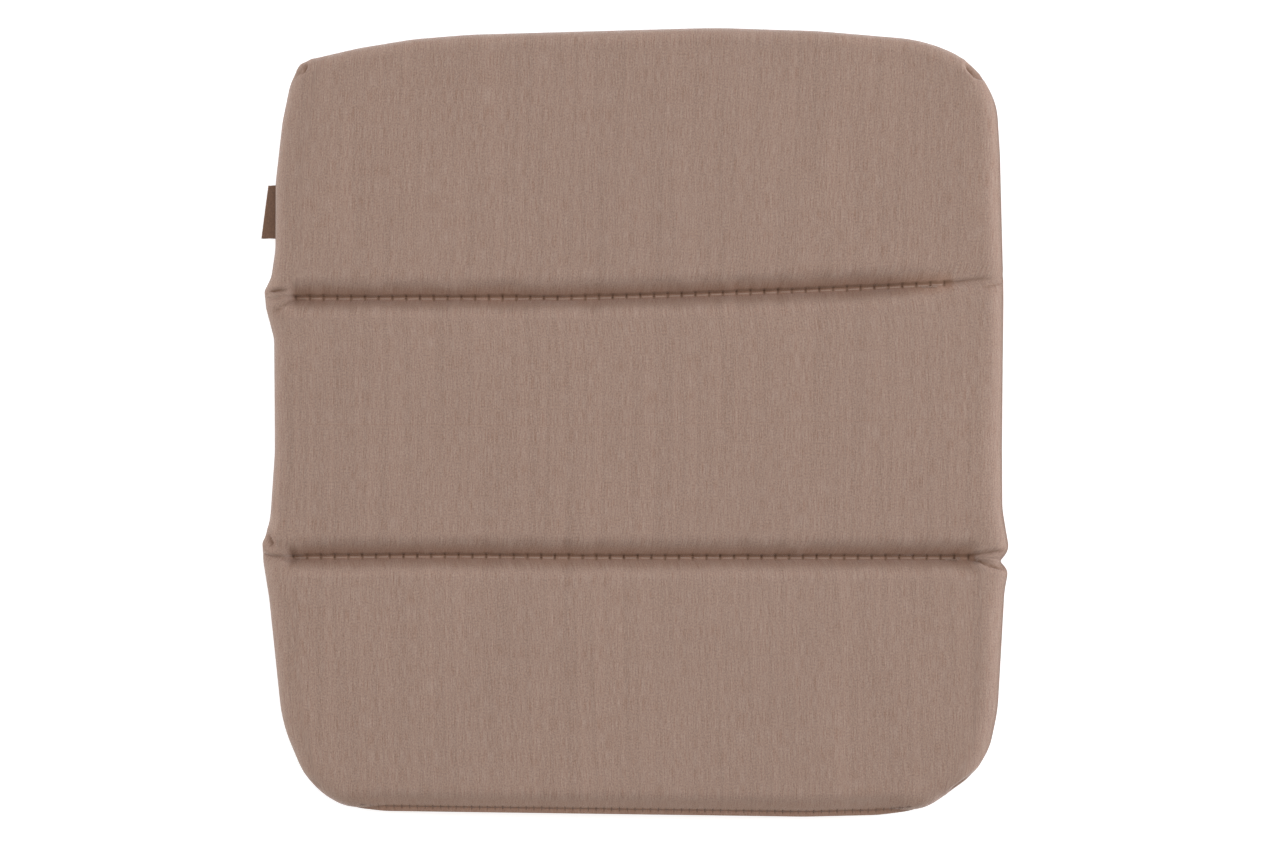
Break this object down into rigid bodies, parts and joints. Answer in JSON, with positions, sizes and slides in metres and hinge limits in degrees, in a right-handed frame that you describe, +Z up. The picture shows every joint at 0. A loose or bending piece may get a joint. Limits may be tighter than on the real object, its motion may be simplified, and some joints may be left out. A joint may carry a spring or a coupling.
{
  "type": "chair seat pad",
  "caption": "Foam-filled chair seat pad with an arched front edge, rounded corners and sections divided by quilted rows that it folds along; a plain side label.",
  "frame": {"origin": "centre of the footprint, on the surface that the pad lies on", "axes": "+Z up through the pad's thickness, +Y towards the arched front edge, +X towards the side without the label"},
  "size_m": [0.4145, 0.4415, 0.028],
  "materials": {
    "cover_fabric": "matt melange weave, pinkish taupe",
    "seat_foam": "open-cell foam, off-white",
    "sewing_thread": "twisted polyester thread, slightly shiny",
    "label_ribbon": "dense dark brown woven ribbon"
  },
  "bodies": {
    "middle_section": {"top_panel_middle": "cover_fabric", "bottom_panel_middle": "cover_fabric", "foam_middle": "seat_foam", "seam_thread_middle": "sewing_thread", "quilt_needle_thread_front": "sewing_thread", "quilt_needle_thread_rear": "sewing_thread", "quilt_bobbin_thread_front": "sewing_thread", "quilt_bobbin_thread_rear": "sewing_thread"},
    "front_section": {"top_panel_front": "cover_fabric", "bottom_panel_front": "cover_fabric", "foam_front": "seat_foam", "seam_thread_front": "sewing_thread", "label_tail": "label_ribbon"},
    "rear_section": {"top_panel_rear": "cover_fabric", "bottom_panel_rear": "cover_fabric", "foam_rear": "seat_foam", "seam_thread_rear": "sewing_thread", "closing_needle_thread": "sewing_thread", "closing_bobbin_thread": "sewing_thread"},
    "side_label": {"label_flap": "label_ribbon"}
  },
  "joints": [
    {"name": "front_fold", "type": "hinge", "parent": "middle_section", "child": "front_section", "pos_m": [0, 0.073, 0.014], "axis": [1, 0, 0], "range_deg": [-90, 90]},
    {"name": "rear_fold", "type": "hinge", "parent": "middle_section", "child": "rear_section", "pos_m": [0, -0.075, 0.014], "axis": [-1, 0, 0], "range_deg": [-90, 90]},
    {"name": "label_bend", "type": "hinge", "parent": "front_section", "child": "side_label", "pos_m": [-0.20184, 0.11804, 0.014], "axis": [0.038, 0.9993, 0], "range_deg": [-80, 80]}
  ]
}
